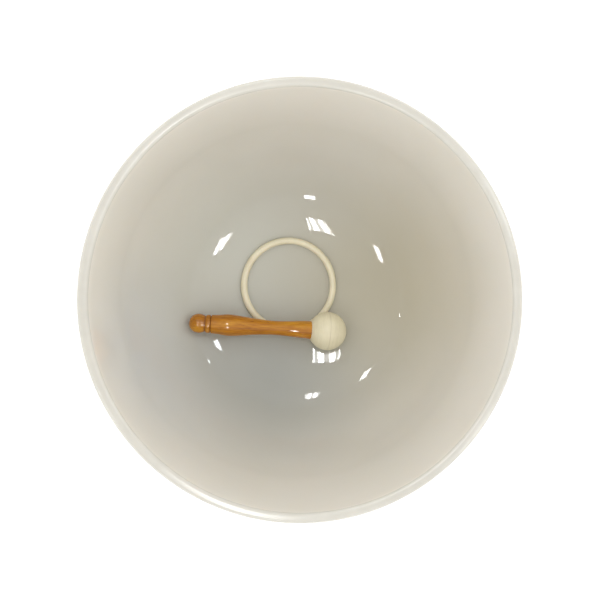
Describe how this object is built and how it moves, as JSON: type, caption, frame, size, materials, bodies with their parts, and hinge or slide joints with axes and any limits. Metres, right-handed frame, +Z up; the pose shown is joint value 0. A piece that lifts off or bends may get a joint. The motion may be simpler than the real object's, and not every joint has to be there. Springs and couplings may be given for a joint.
{
  "type": "singing bowl",
  "caption": "Frosted quartz singing bowl with a round bottom and ground rim, holding its rubber ring stand and a wooden mallet with a rubber ball head.",
  "frame": {"origin": "centre of the ground foot on the underside of the bowl, on the bowl's axis", "axes": "+Z up along the bowl's axis, towards the rim; +X towards the side on which the mallet's ball lies"},
  "size_m": [0.305, 0.305, 0.175],
  "materials": {
    "frosted_quartz": "milky quartz, polished inside and matt frosted outside",
    "ring_rubber": "cream silicone rubber, satin",
    "ball_rubber": "cream rubber, satin",
    "varnished_wood": "turned hardwood, glossy orange-brown varnish",
    "stud_steel": "zinc plated, threaded"
  },
  "bodies": {
    "bowl": {"bowl": "frosted_quartz"},
    "ring": {"o_ring": "ring_rubber"},
    "mallet": {"mallet_ball": "ball_rubber", "mallet_handle": "varnished_wood", "mallet_stud": "stud_steel"}
  },
  "joints": [
    {"name": "ring_lift", "type": "slide", "parent": "bowl", "child": "ring", "axis": [0, 0, 1], "range_m": [0, 0.21]},
    {"name": "mallet_lift", "type": "slide", "parent": "ring", "child": "mallet", "axis": [0, 0, 1], "range_m": [0, 0.21]}
  ]
}
